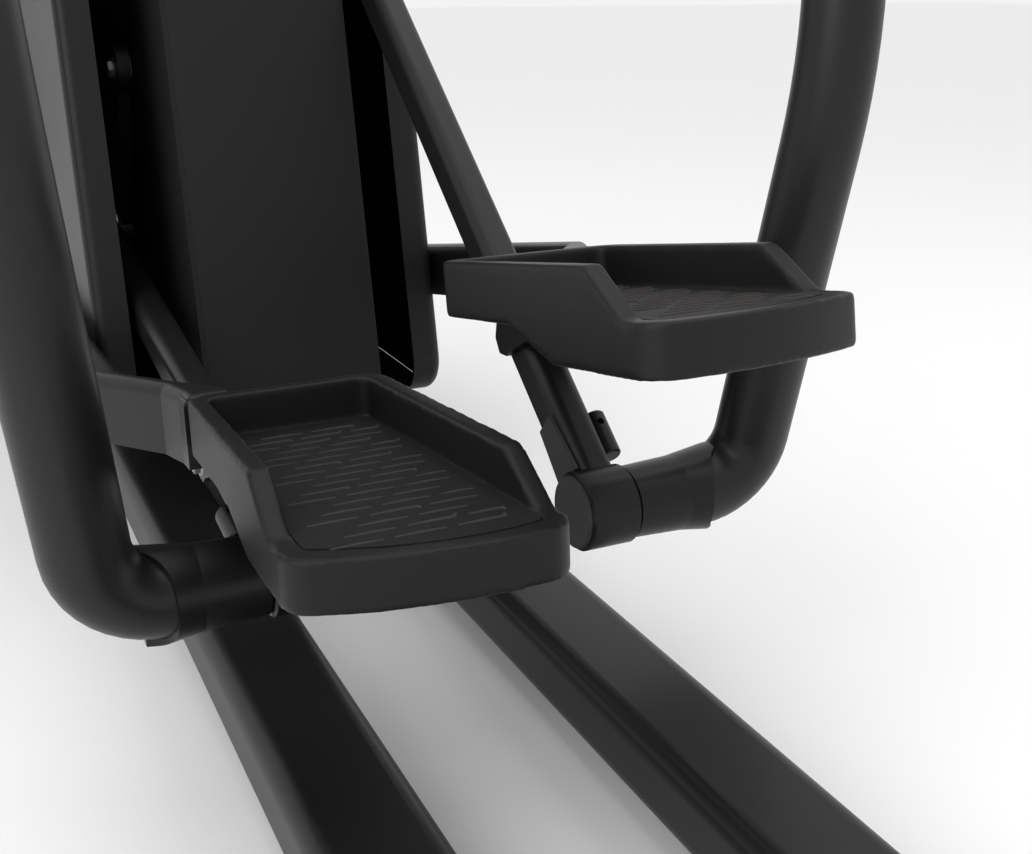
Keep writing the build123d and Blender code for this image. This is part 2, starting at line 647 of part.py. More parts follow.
def swing_arm(side):
    half = ARM_BOSS_LENGTH / 2
    bush = SWING_AXLE_DIAMETER + 2 * BUSH_WALL + 2 * RUN_GAP
    whole = swept(arm_path(), ARM_DIAMETER) - swept(arm_path(), ARM_DIAMETER - 2 * ARM_WALL) + arm_boss()
    whole -= rod_x(bush, ARM_X - half - 5, ARM_X + half + 5, SWING_PIVOT_Y, SWING_PIVOT_Z)
    trim = block(ARM_X + half, ARM_X + half + 20, -80, 60, SWING_PIVOT_Z - 60, SWING_PIVOT_Z + 60)
    trim += block(ARM_X - half - 20, ARM_X - half, -80, 60, SWING_PIVOT_Z - 60, SWING_PIVOT_Z + 60)
    return on_side(whole - trim, side)


def pivot_bushes():
    half = ARM_BOSS_LENGTH / 2
    outer = SWING_AXLE_DIAMETER + 2 * BUSH_WALL
    inner = SWING_AXLE_DIAMETER + 2 * SEAT_GAP
    return both_sides(ring_x(outer, inner, ARM_X - half, ARM_X + half, SWING_PIVOT_Y, SWING_PIVOT_Z))


def handle_path():
    return FilletPolyline(
        (ARM_X, SWING_PIVOT_Y + 4, SWING_PIVOT_Z + ARM_BOSS_DIAMETER / 2 - 2),
        (ARM_X, SWING_PIVOT_Y + 8, SWING_PIVOT_Z + 120),
        (ARM_X - 60, SWING_PIVOT_Y - 60, SWING_PIVOT_Z + 270),
        (ARM_X - 60, SWING_PIVOT_Y - 95, SWING_PIVOT_Z + 420),
        radius=60.0,
    )


def upper_handle(side):
    boss_clear = rod_x(ARM_BOSS_DIAMETER + 2 * SEAT_GAP, ARM_X - 60, ARM_X + 60, SWING_PIVOT_Y, SWING_PIVOT_Z)
    return on_side(swept(handle_path(), HANDLE_DIAMETER) - boss_clear, side)


def handle_grip(side):
    low = Vector(ARM_X - 60, SWING_PIVOT_Y - 60, SWING_PIVOT_Z + 270)
    high = Vector(ARM_X - 60, SWING_PIVOT_Y - 95, SWING_PIVOT_Z + 420)
    along = (high - low).normalized()
    start = Plane(origin=low + along * 30, z_dir=along)
    length = (high - low).length - 24
    sleeve = extrude(start * Circle(GRIP_DIAMETER / 2), amount=length)
    sleeve = fillet(sleeve.edges().filter_by(GeomType.CIRCLE), 6.0)
    bore = extrude(start * Circle(HANDLE_DIAMETER / 2 + SEAT_GAP), amount=length - 6)
    return on_side(sleeve - bore, side)


def swing_sleeve(side):
    """The flared sleeve on the arm's lower end, with its spindle for the rod's hub."""
    near, far = HUB_OUT_X + 2.0, SLEEVE_OUT_X
    small, large = SLEEVE_SMALL_DIAMETER / 2, SLEEVE_LARGE_DIAMETER / 2
    mid_x = near + (far - near) * 0.55
    profile = make_face(
        Polyline((near, 0), (near, small), (mid_x, small + 2), (far, large), (far, 0), close=True)
    )
    body = revolve(profile, axis=Axis.X)
    socket = rod_x(ARM_DIAMETER + 2 * SEAT_GAP, ARM_SOCKET_X - SEAT_GAP, far + 1)
    scallop = Pos(far + 30, -46, 0) * Cylinder(SCALLOP_RADIUS, 200)
    spindle = rod_x(SPINDLE_DIAMETER, HUB_IN_X + 1, near + 1)
    whole = body - socket - scallop + spindle
    return on_side(Pos(0, HUB_Y, HUB_Z) * whole, side)


# --- rods ---------------------------------------------------------------------------
def on_rod(part, side):
    return on_side(Pos(0, HUB_Y, HUB_Z) * Rot(ROD_ANGLE[side], 0, 0) * part, side)


def rod_box(inset, start, end):
    plane = Plane(origin=(ROD_X, start, 0), x_dir=(-1, 0, 0), z_dir=(0, 1, 0))
    face = RectangleRounded(ROD_WIDTH - 2 * inset, ROD_DEPTH - 2 * inset, ROD_ROUND - inset)
    return extrude(plane * face, amount=end - start)


def rod_tube(side):
    tube = rod_box(0.0, 10, ROD_LENGTH) - rod_box(ROD_WALL, 10, ROD_LENGTH)
    sleeve = rod_x(CARRIAGE_PIN_DIAMETER + 10, ROD_IN_X, ROD_OUT_X, CARRIAGE_ALONG_ROD, 0)
    tube += sleeve & rod_box(0.0, 10, ROD_LENGTH)
    tube -= rod_x(CARRIAGE_PIN_DIAMETER + 2 * RUN_GAP, ROD_IN_X - 1, ROD_OUT_X + 1, CARRIAGE_ALONG_ROD, 0)
    tube -= rod_x(HUB_DIAMETER + 2 * SEAT_GAP, ROD_IN_X - 5, ROD_OUT_X + 5)
    tube -= rod_x(ROD_EYE_DIAMETER + 2 * SEAT_GAP, ROD_IN_X - 5, ROD_OUT_X + 5, ROD_LENGTH, 0)
    return on_rod(tube + lock_barrel(), side)


def hub_collar(side):
    bore = SPINDLE_DIAMETER + 2 * RUN_GAP
    collar = rod_x(HUB_DIAMETER, HUB_IN_X, HUB_OUT_X)
    collar = chamfer(collar.edges().filter_by(GeomType.CIRCLE), 2.0)
    return on_rod(collar - rod_x(bore, HUB_IN_X - 1, HUB_OUT_X + 1), side)


def hub_cap(side):
    cap = rod_x(HUB_DIAMETER - 6, HUB_IN_X - HUB_CAP_THICKNESS, HUB_IN_X)
    outer_edge = cap.edges().filter_by(GeomType.CIRCLE).sort_by(Axis.X)[0]
    return on_rod(chamfer(outer_edge, 1.5), side)


def rod_gusset(side):
    """A thin plate between the rod's inboard face and the hub."""
    start = HUB_DIAMETER / 2 - 4
    outline = [(start, -20), (start + 62, -14), (start + 62, 14), (start, 20)]
    plate = side_plate(outline, ROD_IN_X - 4, ROD_IN_X)
    return on_rod(plate - rod_x(HUB_DIAMETER + 2 * SEAT_GAP, ROD_IN_X - 6, ROD_IN_X + 2), side)


def lock_barrel():
    """The small drilled barrel welded beside the rod's lower end."""
    start, length, radius = 46.0, 46.0, 11.0
    plane = Plane(origin=(ROD_OUT_X + radius - 2, start, 4), z_dir=(0, 1, 0))
    body = extrude(plane * Circle(radius), amount=length)
    body = chamfer(body.edges().filter_by(GeomType.CIRCLE), 1.5)
    hole = Pos(ROD_OUT_X + radius - 2, start + length * 0.72, 4) * Cylinder(3.4, 60)
    flat = block(ROD_IN_X, ROD_OUT_X, start - 5, start + length + 5, -30, 30)
    return body - hole - flat


def rod_end_bearing(side):
    """The bearing in the rod's eye and the crank pin in it, which stops short of the crank arm."""
    bore = CRANK_PIN_DIAMETER + 2 * RUN_GAP
    bearing = ring_x(ROD_EYE_DIAMETER, bore, ROD_IN_X, ROD_OUT_X, ROD_LENGTH, 0)
    pin = rod_x(CRANK_PIN_DIAMETER, CRANK_ARM_OUT_X + PIN_SHORTFALL, ROD_OUT_X, ROD_LENGTH, 0)
    return on_rod(Compound(children=[bearing, pin]), side)


# --- pedal carriages ----------------------------------------------------------------
def on_carriage(part, side):
    pivot_y, pivot_z = polar(HUB_Y, HUB_Z, CARRIAGE_ALONG_ROD, ROD_ANGLE[side])
    return on_side(Pos(0, pivot_y, pivot_z) * Rot(PEDAL_PITCH[side], 0, 0) * part, side)


def cheek_ends():
    inner = ROD_IN_X - CHEEK_GAP
    outer = ROD_OUT_X + CHEEK_GAP
    return (inner - CHEEK_THICKNESS, inner), (outer, outer + CHEEK_THICKNESS)


def pedal_underside():
    return RIM_ABOVE_PIVOT - PEDAL_TOE_DEPTH


def pedal_carriage(side):
    """Two cheeks on the pivot pin, a bridge under the pedal's toe."""
    top = pedal_underside()
    bridge_low = top - 8.0
    nose = CARRIAGE_NOSE - 1.0
    tail = -130
    lower = [(tail, bridge_low), (-60, 4), (-16, -10), (-6, -17), (10, -15)]
    outline = lower + [(nose, 0), (12, 14), (-14, top), (tail, top)]
    low_x, high_x = cheek_ends()[0][0], cheek_ends()[1][1]
    whole = block(low_x, high_x, tail, -14, bridge_low, top)
    for near, far in cheek_ends():
        whole += side_plate(outline, near, far, 3.0)
    pin = CARRIAGE_PIN_DIAMETER + 2 * SEAT_GAP
    bracket = whole - rod_x(pin, low_x - 1, high_x + 1)
    return on_carriage(Compound(children=[bracket, rod_x(CARRIAGE_PIN_DIAMETER, low_x, high_x)]), side)


def pedal_outline(inset):
    """The pedal in plan: slanting, gently bowed heel and rounded toe corners."""
    toe = -TOE_BEHIND_PIVOT - inset
    toe_half = PEDAL_TOE_WIDTH / 2 - inset
    heel_half = PEDAL_HEEL_WIDTH / 2 - inset
    heel_in = -TOE_BEHIND_PIVOT - PEDAL_IN_LENGTH + inset
    heel_out = -TOE_BEHIND_PIVOT - PEDAL_OUT_LENGTH + inset
    heel_bow = (PEDAL_X, (heel_in + heel_out) / 2 - 16.0)
    toe_in, toe_out = (PEDAL_X - toe_half, toe), (PEDAL_X + toe_half, toe)
    in_corner, out_corner = (PEDAL_X - heel_half, heel_in), (PEDAL_X + heel_half, heel_out)
    edges = Line(toe_in, toe_out) + Line(toe_out, out_corner)
    edges += ThreePointArc(out_corner, heel_bow, in_corner) + Line(in_corner, toe_in)
    face = make_face(edges)
    return fillet(face.vertices(), max(26.0 - inset, 6.0))


def pedal_layer(inset, low, high):
    return extrude(Plane.XY.offset(low) * pedal_outline(inset), amount=high - low)


def pedal_wall_cut(wall_length, x0, x1):
    """What is taken off above the lip behind the side wall on one half of the pedal."""
    top = RIM_ABOVE_PIVOT
    lip = top - PEDAL_LIP_DROP
    start = -TOE_BEHIND_PIVOT - wall_length
    back = start - 300
    outline = [(start, top + 1), (start, top), (start - PEDAL_WALL_RAMP, lip), (back, lip), (back, top + 1)]
    return side_plate(outline, x0, x1)


def pedal_shell(side):
    top = RIM_ABOVE_PIVOT
    lip = top - PEDAL_LIP_DROP
    bottom = lip - PEDAL_HEEL_SKIRT
    body = pedal_layer(0.0, bottom, top)
    body -= pedal_wall_cut(PEDAL_IN_WALL, PEDAL_X - 150, PEDAL_X)
    body -= pedal_wall_cut(PEDAL_OUT_WALL, PEDAL_X, PEDAL_X + 150)
    step = -TOE_BEHIND_PIVOT - 150
    belly = pedal_underside()
    below = bottom - 5
    under = [(20, belly), (step, belly), (step - 70, bottom), (step - 70, below), (20, below)]
    body -= side_plate(under, PEDAL_X - 150, PEDAL_X + 150)
    floor_top = lip - TREAD_THICKNESS
    body -= pedal_layer(PEDAL_RIM_WIDTH, floor_top, top + 1)
    heel_cave = pedal_layer(6.0, bottom - 1, floor_top - PEDAL_FLOOR)
    body -= heel_cave & block(PEDAL_X - 150, PEDAL_X + 150, -600, step - 10, -50, 100)
    return on_carriage(body, side)


def tread_mat(side):
    lip = RIM_ABOVE_PIVOT - PEDAL_LIP_DROP
    floor_top = lip - TREAD_THICKNESS
    return on_carriage(pedal_layer(PEDAL_RIM_WIDTH + TREAD_GAP, floor_top, lip - 0.5), side)


def beam_plan(inset):
    """The beam from above: it leaves the pedal's outboard toe corner and steps out past the side shell."""
    toe = -TOE_BEHIND_PIVOT + SEAT_GAP + inset
    pedal_out_x = PEDAL_X + PEDAL_TOE_WIDTH / 2
    root_in_x = pedal_out_x - BEAM_ROOT_WIDTH
    inner = [(root_in_x, toe), (root_in_x, toe + 20 - 2 * inset), (root_in_x + 18, toe + 52)]
    inner += [(BEAM_IN_X, toe + 142)]
    outer = [(BEAM_OUT_X, toe + 157), (pedal_out_x + 8, toe + 62), (pedal_out_x, toe + 22)]
    end = BEAM_PIN_AHEAD + BEAM_NOSE - inset
    inner = [(x + inset, y) for x, y in inner]
    outer = [(x - inset, y) for x, y in outer]
    nose = [(BEAM_IN_X + inset, end), (BEAM_OUT_X - inset, end)]
    points = inner + nose + outer + [(pedal_out_x - inset, toe)]
    return make_face(Polyline(*points, close=True))


def beam_layer(inset):
    top = RIM_ABOVE_PIVOT - BEAM_TOP_DROP - inset
    low = RIM_ABOVE_PIVOT - BEAM_TOP_DROP - BEAM_HEIGHT + inset
    return extrude(Plane.XY.offset(low) * beam_plan(inset), amount=top - low)


def foot_beam(side):
    """From the pedal's outboard toe corner forward, outside the side shell, to the rocker."""
    body = beam_layer(0.0)
    body = fillet(body.faces().sort_by(Axis.Z)[-1].edges(), BEAM_ROUND)
    body -= beam_layer(BEAM_WALL)
    seat_x = cheek_ends()[1][1] + SEAT_GAP
    seat_top = pedal_underside() + SEAT_GAP
    carriage_way = block(PEDAL_X, seat_x, -2 * TOE_BEHIND_PIVOT, CARRIAGE_NOSE, 0, seat_top)
    return on_carriage(body - carriage_way, side)


# --- rockers ------------------------------------------------------------------------
def beam_pin_place(side):
    pivot_y, pivot_z = polar(HUB_Y, HUB_Z, CARRIAGE_ALONG_ROD, ROD_ANGLE[side])
    pin_y, pin_z = polar(pivot_y, pivot_z, BEAM_PIN_AHEAD, PEDAL_PITCH[side])
    pin_up = RIM_ABOVE_PIVOT - BEAM_TOP_DROP - BEAM_HEIGHT / 2
    return polar(pin_y, pin_z, pin_up, PEDAL_PITCH[side] + 90)


def rocker_link(side):
    """The hanging link that carries the beam's front end."""
    pin_y, pin_z = beam_pin_place(side)
    length = math.dist((pin_y, pin_z), (ROCKER_Y, ROCKER_Z))
    tilt = math.degrees(math.atan2(pin_z - ROCKER_Z, pin_y - ROCKER_Y))
    middle_y, middle_z = (pin_y + ROCKER_Y) / 2, (pin_z + ROCKER_Z) / 2
    middle_x = (ROCKER_IN_X + ROCKER_OUT_X) / 2
    web = Box(ROCKER_THICKNESS, length, ROCKER_WIDTH * WEB_SHARE)
    link = Pos(middle_x, middle_y, middle_z) * Rot(tilt, 0, 0) * web
    link += rod_x(ROCKER_WIDTH, ROCKER_IN_X, ROCKER_OUT_X, ROCKER_Y, ROCKER_Z)
    link += rod_x(ROCKER_WIDTH, ROCKER_IN_X, ROCKER_OUT_X, pin_y, pin_z)
    link -= rod_x(ROCKER_PIN_DIAMETER + 2 * RUN_GAP, ROCKER_IN_X - 1, ROCKER_OUT_X + 1, ROCKER_Y, ROCKER_Z)
    return on_side(link, side)


# --- write every piece --------------------------------------------------------------
SINGLE_PIECES = {
    "rails": rails,
    "rear_cross_foot": lambda: cross_foot(REAR_FOOT_Y),
    "front_cross_foot": front_cross_foot,
    "foot_end_caps": foot_end_caps,
    "levelling_feet": levelling_feet,
    "wheel_axles": wheel_axles,
    "base_crossmember": base_crossmember,
    "mast": mast,
    "swing_axle": swing_axle,
    "pivot_bushes": pivot_bushes,
    "console_bracket": console_bracket,
    "console_housing": console_housing,
    "console_screen": console_screen,
    "fixed_handlebar": fixed_handlebar,
    "fixed_grips": fixed_grips,
    "central_casing": central_casing,
    "rear_panel": rear_panel,
    "drive_frame": drive_frame,
    "crank_bearings": crank_bearings,
    "crank_axle": crank_axle,
    "drive_pulley": drive_pulley,
    "drive_belt": drive_belt,
    "flywheel": flywheel,
    "flywheel_axle": flywheel_axle,
    "brake_magnet": magnet_bracket,
    "rocker_axles": rocker_axles,
}

SIDED_PIECES = {
    "transport_wheel": transport_wheel,
    "side_shell": side_shell,
    "crank_arm": crank_arm,
    "swing_arm": swing_arm,
    "upper_handle": upper_handle,
    "handle_grip": handle_grip,
    "swing_sleeve": swing_sleeve,
    "rod_tube": rod_tube,
    "hub_collar": hub_collar,
    "hub_cap": hub_cap,
    "rod_gusset": rod_gusset,
    "rod_end_bearing": rod_end_bearing,
    "pedal_carriage": pedal_carriage,
    "pedal_shell": pedal_shell,
    "tread_mat": tread_mat,
    "foot_beam": foot_beam,
    "rocker_link": rocker_link,
}

for piece_name, make in SINGLE_PIECES.items():
    save(piece_name, make())

for piece_name, make in SIDED_PIECES.items():
    for hand in ("left", "right"):
        save(f"{hand}_{piece_name}", make(hand))
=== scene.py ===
import json
import math
import random

import bmesh
import bpy
from mathutils import Matrix, Vector


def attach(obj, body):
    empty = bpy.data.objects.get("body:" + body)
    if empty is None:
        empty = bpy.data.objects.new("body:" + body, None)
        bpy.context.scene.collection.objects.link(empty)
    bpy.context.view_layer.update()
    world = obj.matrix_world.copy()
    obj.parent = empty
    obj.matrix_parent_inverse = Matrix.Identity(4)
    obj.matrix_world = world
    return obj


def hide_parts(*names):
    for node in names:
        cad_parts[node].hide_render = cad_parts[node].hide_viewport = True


bl_info = {
    "name": "Elliptical trainer finish",
    "version": (1, 0, 0),
    "blender": (4, 5, 0),
    "location": "3D View > Sidebar > Trainer",
    "description": "Gives an elliptical trainer its moulded pedals, treads, bolts and finishes",
    "category": "Object",
}

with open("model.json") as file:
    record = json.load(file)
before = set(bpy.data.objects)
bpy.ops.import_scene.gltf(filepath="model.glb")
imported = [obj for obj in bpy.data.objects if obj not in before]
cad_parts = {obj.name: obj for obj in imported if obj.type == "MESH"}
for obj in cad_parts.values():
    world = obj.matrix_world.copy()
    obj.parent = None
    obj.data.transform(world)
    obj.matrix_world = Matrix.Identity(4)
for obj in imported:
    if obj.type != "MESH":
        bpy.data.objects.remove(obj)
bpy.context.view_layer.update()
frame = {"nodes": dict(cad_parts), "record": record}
FLOOR_HALF = 30.0
KEY_PLACE = (-2.6, -1.6, 2.3)
KEY_SIZE = 2.4
TOP_PLACE = (0.3, -0.4, 3.2)
TOP_SIZE = 3.0
LIGHT_TARGET = (0, -0.3, 0.4)
CAMERA_PLACE = (-0.383, -1.30, 0.68)
CAMERA_DOWN = 17.99       # degrees below level
CAMERA_RIGHT = 25.63      # degrees right of straight ahead
CAMERA_SENSOR = 36.0
CAMERA_SHIFT = (0.0073, -0.0383)
SKIN_VOXEL = 0.0016       # cell of the pedals' moulded skin
SKIN_ROUNDS = 26          # smoothing passes over that skin
RIDGE_STEPS = 4           # facets across a tread dash
CARRIAGE_BOLT = (0.017, 0.007)    # across the flats, height
CRANK_BOLT = (0.019, 0.008)
FLANGE_SHARE = 0.25       # flange's part of a bolt head's height
HEX_CORNER = 0.577        # corner radius of a hexagon one unit across its flats
CAST_IRON = (0.12, 0.12, 0.125)
PULLEY_ALLOY = (0.6, 0.6, 0.62)
BRONZE = (0.5, 0.36, 0.18)
ZINC = (0.34, 0.34, 0.35)
FOOT_RUBBER = (0.016, 0.016, 0.016)
BELT_RUBBER = (0.012, 0.012, 0.012)
WHEEL_RUBBER = (0.022, 0.022, 0.022)
GRIP_RUBBER = (0.015, 0.015, 0.0155)
SCREEN = (0.006, 0.006, 0.007)
SIDES = ("left", "right")
BODY_OF = {node: body for body, nodes in frame["record"]["behaviour"]["bodies"].items() for node in nodes}


# --- shader wiring ------------------------------------------------------------------
class Wire:
    """One output socket, on which Python's operators lay Math nodes."""

    def __init__(self, board, socket):
        self.board = board
        self.socket = socket

    def _math(self, operation, first, second):
        return self.board.node("ShaderNodeMath", {"operation": operation}, {0: first, 1: second})

    def __add__(self, other):
        return self._math("ADD", self, other)

    def __radd__(self, other):
        return self._math("ADD", other, self)

    def __mul__(self, other):
        return self._math("MULTIPLY", self, other)

    def __rmul__(self, other):
        return self._math("MULTIPLY", other, self)


class Board:
    """One material's node tree, with its Principled shader."""

    def __init__(self, name, **fixed):
        self.material = bpy.data.materials.new(name)
        self.material.use_nodes = True
        self.tree = self.material.node_tree
        self.shader = self.tree.nodes["Principled BSDF"]
        for socket, value in fixed.items():
            self.shader.inputs[socket.replace("_", " ")].default_value = value
        self.place = self.node("ShaderNodeTexCoord", output="Object")

    def node(self, kind, settings=None, sockets=None, output=0):
        made = self.tree.nodes.new(kind)
        for setting, value in (settings or {}).items():
            setattr(made, setting, value)
        for socket, value in (sockets or {}).items():
            if isinstance(value, Wire):
                self.tree.links.new(value.socket, made.inputs[socket])
            else:
                made.inputs[socket].default_value = value
        return Wire(self, made.outputs[output])

    def stretched(self, x, y, z):
        return self.node(
            "ShaderNodeVectorMath", {"operation": "MULTIPLY"}, {0: self.place, 1: (x, y, z)}
        )

    def noise(self, scale, detail=3.0, roughness=0.5, vector=None):
        sockets = {"Vector": vector or self.place, "Scale": scale, "Detail": detail, "Roughness": roughness}
        return self.node("ShaderNodeTexNoise", None, sockets)

    def cells(self, scale):
        sockets = {"Vector": self.place, "Scale": scale}
        return self.node("ShaderNodeTexVoronoi", {"feature": "SMOOTH_F1"}, sockets)

    def blend(self, factor, first, second):
        made = self.tree.nodes.new("ShaderNodeMix")
        made.data_type = "RGBA"
        self.tree.links.new(factor.socket, made.inputs["Factor"])
        colour_inputs = [socket for socket in made.inputs if socket.type == "RGBA"]
        colour_inputs[0].default_value = (*first, 1.0)
        colour_inputs[1].default_value = (*second, 1.0)
        colour_out = next(socket for socket in made.outputs if socket.type == "RGBA")
        return Wire(self, colour_out)

    def feed(self, socket, wire):
        self.tree.links.new(wire.socket, self.shader.inputs[socket])

    def relief(self, height, strength, distance):
        sockets = {"Strength": strength, "Distance": distance, "Height": height}
        bump = self.node("ShaderNodeBump", None, sockets)
        self.feed("Normal", bump)


def scaled(colour, factor):
    return tuple(min(1.0, channel * factor) for channel in colour)


# --- finishes -----------------------------------------------------------------------
def powder_coat(name, colour, roughness):
    """Satin paint baked on steel: faint orange peel and slow drifts of sheen."""
    board = Board(name, Specular_IOR_Level=0.30, Coat_Weight=0.06, Coat_Roughness=0.2)
    drift = board.noise(7.0, 4.0)
    peel = board.noise(420.0, 2.0)
    board.feed("Base Color", board.blend(drift, scaled(colour, 0.8), scaled(colour, 1.25)))
    board.feed("Roughness", roughness + 0.10 * drift + 0.05 * peel)
    board.relief(peel, 0.10, 0.0006)
    return board.material


def moulding(name, colour, roughness, grain_scale, grain_depth):
    """Moulded plastic with an etched grain; a small depth leaves it almost smooth."""
    board = Board(name, Specular_IOR_Level=0.24)
    drift = board.noise(5.0, 3.0)
    grain = board.cells(grain_scale) * 0.6 + board.noise(grain_scale * 2.3, 2.0) * 0.4
    board.feed("Base Color", board.blend(drift, scaled(colour, 0.85), scaled(colour, 1.18)))
    board.feed("Roughness", roughness + 0.08 * drift + 0.06 * grain)
    board.relief(grain, grain_depth, 0.0008)
    return board.material


def rubber(name, colour, grain_scale=900.0):
    board = Board(name, Specular_IOR_Level=0.22)
    scuff = board.noise(38.0, 5.0, 0.65)
    grain = board.noise(grain_scale, 2.0)
    board.feed("Base Color", board.blend(scuff, scaled(colour, 0.75), scaled(colour, 1.4)))
    board.feed("Roughness", 0.58 + 0.2 * scuff)
    board.relief(grain, 0.18, 0.0005)
    return board.material


def turned_metal(name, colour, roughness, metallic=1.0):
    """Fine rings left by the lathe, running round the X axis."""
    board = Board(name, Metallic=metallic)
    rings = board.noise(60.0, 3.0, 0.6, board.stretched(28.0, 1.0, 1.0))
    smudge = board.noise(14.0, 4.0)
    board.feed("Base Color", board.blend(smudge, scaled(colour, 0.82), scaled(colour, 1.1)))
    board.feed("Roughness", roughness + 0.18 * rings + 0.1 * smudge)
    board.relief(rings, 0.08, 0.0004)
    return board.material


def glass_pane(name, colour):
    board = Board(name, Coat_Weight=1.0, Coat_Roughness=0.03)
    smudge = board.noise(9.0, 4.0)
    board.feed("Base Color", board.blend(smudge, scaled(colour, 0.8), scaled(colour, 1.3)))
    board.feed("Roughness", 0.12 + 0.12 * smudge)
    return board.material


def studio_floor(name, colour):
    board = Board(name)
    drift = board.noise(2.0, 2.0)
    board.feed("Base Color", board.blend(drift, scaled(colour, 0.985), colour))
    board.feed("Roughness", 0.55 + 0.1 * drift)
    return board.material


# --- settings -----------------------------------------------------------------------
class TrainerFinishes(bpy.types.PropertyGroup):
    """Colours and sheen of the trainer's materials."""

    paint: bpy.props.FloatVectorProperty(
        name="Powder coat", description="Colour of the painted steel", subtype="COLOR", size=3,
        default=(0.0062, 0.0062, 0.0066), min=0.0, max=1.0)
    paint_roughness: bpy.props.FloatProperty(
        name="Powder coat roughness", description="Roughness of the painted steel", subtype="FACTOR",
        default=0.34, min=0.0, max=1.0)
    casing: bpy.props.FloatVectorProperty(
        name="Casing", description="Colour of the casing mouldings", subtype="COLOR", size=3,
        default=(0.0068, 0.0068, 0.0072), min=0.0, max=1.0)
    pedal: bpy.props.FloatVectorProperty(
        name="Pedals", description="Colour of the pedal mouldings", subtype="COLOR", size=3,
        default=(0.0070, 0.0068, 0.0070), min=0.0, max=1.0)
    tread: bpy.props.FloatVectorProperty(
        name="Tread mats", description="Colour of the rubber treads", subtype="COLOR", size=3,
        default=(0.0085, 0.0078, 0.0075), min=0.0, max=1.0)
    cap: bpy.props.FloatVectorProperty(
        name="Hub caps", description="Colour of the hub end caps and plates", subtype="COLOR", size=3,
        default=(0.038, 0.038, 0.040), min=0.0, max=1.0)
    steel: bpy.props.FloatVectorProperty(
        name="Bare steel", description="Colour of turned steel", subtype="COLOR", size=3,
        default=(0.55, 0.55, 0.56), min=0.0, max=1.0)


class TrainerTreads(bpy.types.PropertyGroup):
    """The raised dashes on the pedals' tread mats."""

    row_pitch: bpy.props.FloatProperty(
        name="Row pitch", description="Distance between rows of dashes", unit="LENGTH",
        default=0.0165, min=0.006, max=0.04)
    dash_length: bpy.props.FloatProperty(
        name="Dash length", description="Length of one dash", unit="LENGTH", default=0.036, min=0.01, max=0.1)
    dash_gap: bpy.props.FloatProperty(
        name="Dash gap", description="Gap between dashes of a row", unit="LENGTH",
        default=0.008, min=0.002, max=0.05)
    dash_width: bpy.props.FloatProperty(
        name="Dash width", description="Width of a dash", unit="LENGTH", default=0.0028, min=0.0005, max=0.01)
    dash_height: bpy.props.FloatProperty(
        name="Dash height", description="How far a dash stands up", unit="LENGTH",
        default=0.0014, min=0.0002, max=0.005)
    margin: bpy.props.FloatProperty(
        name="Margin", description="Bare border round the dashes", unit="LENGTH",
        default=0.014, min=0.0, max=0.05)


class TrainerStage(bpy.types.PropertyGroup):
    """The studio."""

    floor: bpy.props.FloatVectorProperty(
        name="Floor", description="Colour of the floor", subtype="COLOR", size=3,
        default=(0.93, 0.93, 0.93), min=0.0, max=1.0)
    sky: bpy.props.FloatProperty(
        name="Fill light", description="Strength of the even light from all round",
        default=0.9, min=0.0, max=10.0)
    key_power: bpy.props.FloatProperty(
        name="Key light", description="Power of the large left softbox", unit="POWER", default=46.0, min=0.0)
    top_power: bpy.props.FloatProperty(
        name="Top light", description="Power of the overhead softbox", unit="POWER", default=30.0, min=0.0)
    lens: bpy.props.FloatProperty(
        name="Lens", description="Focal length of the camera", unit="CAMERA",
        default=43.8, min=10.0, max=200.0)


# --- mesh work ----------------------------------------------------------------------
def add_piece(name, mesh, node, material, replaced=()):
    piece = bpy.data.objects.new(name, mesh)
    bpy.context.scene.collection.objects.link(piece)
    mesh.materials.clear()
    mesh.materials.append(material)
    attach(piece, BODY_OF[node])
    if replaced:
        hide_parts(*replaced)
    return piece


def applied(piece):
    """Replaces the piece's mesh by what its modifiers make of it."""
    depsgraph = bpy.context.evaluated_depsgraph_get()
    result = bpy.data.meshes.new_from_object(piece.evaluated_get(depsgraph))
    piece.modifiers.clear()
    materials = list(piece.data.materials)
    piece.data = result
    piece.data.materials.clear()
    for material in materials:
        piece.data.materials.append(material)
    piece.data.polygons.foreach_set("use_smooth", [True] * len(piece.data.polygons))
    return piece


def softened_moulding(name, node, material, voxel, rounds):
    """A moulded skin over a node's solid: every edge rounded as a mould leaves it."""
    mesh = frame["nodes"][node].data.copy()
    mesh.name = name
    piece = add_piece(name, mesh, node, material, (node,))
    remesh = piece.modifiers.new("skin", "REMESH")
    remesh.mode = "VOXEL"
    remesh.voxel_size = voxel
    remesh.use_smooth_shade = True
    smooth = piece.modifiers.new("round", "SMOOTH")
    smooth.factor = 0.5
    smooth.iterations = rounds
    return applied(piece)


def flat_frame(node):
    """Where a flat plate lies: its top's centre, and its lateral, forward and upward directions."""
    mesh = frame["nodes"][node].data
    up = Vector((0, 0, 0))
    for face in mesh.polygons:
        if face.normal.z > 0.8:
            up += face.normal * face.area
    up.normalize()
    lateral = Vector((1, 0, 0))
    forward = up.cross(lateral).normalized()
    points = [vertex.co for vertex in mesh.vertices]
    height = max(point.dot(up) for point in points)
    ahead = [point.dot(forward) for point in points]
    aside = [point.x for point in points]
    middle_ahead, middle_aside = (max(ahead) + min(ahead)) / 2, (max(aside) + min(aside)) / 2
    centre = lateral * middle_aside + forward * middle_ahead + up * height
    turn = Matrix((lateral, forward, up)).transposed().to_4x4()
    size = (max(aside) - min(aside), max(ahead) - min(ahead))
    return Matrix.Translation(centre) @ turn, size


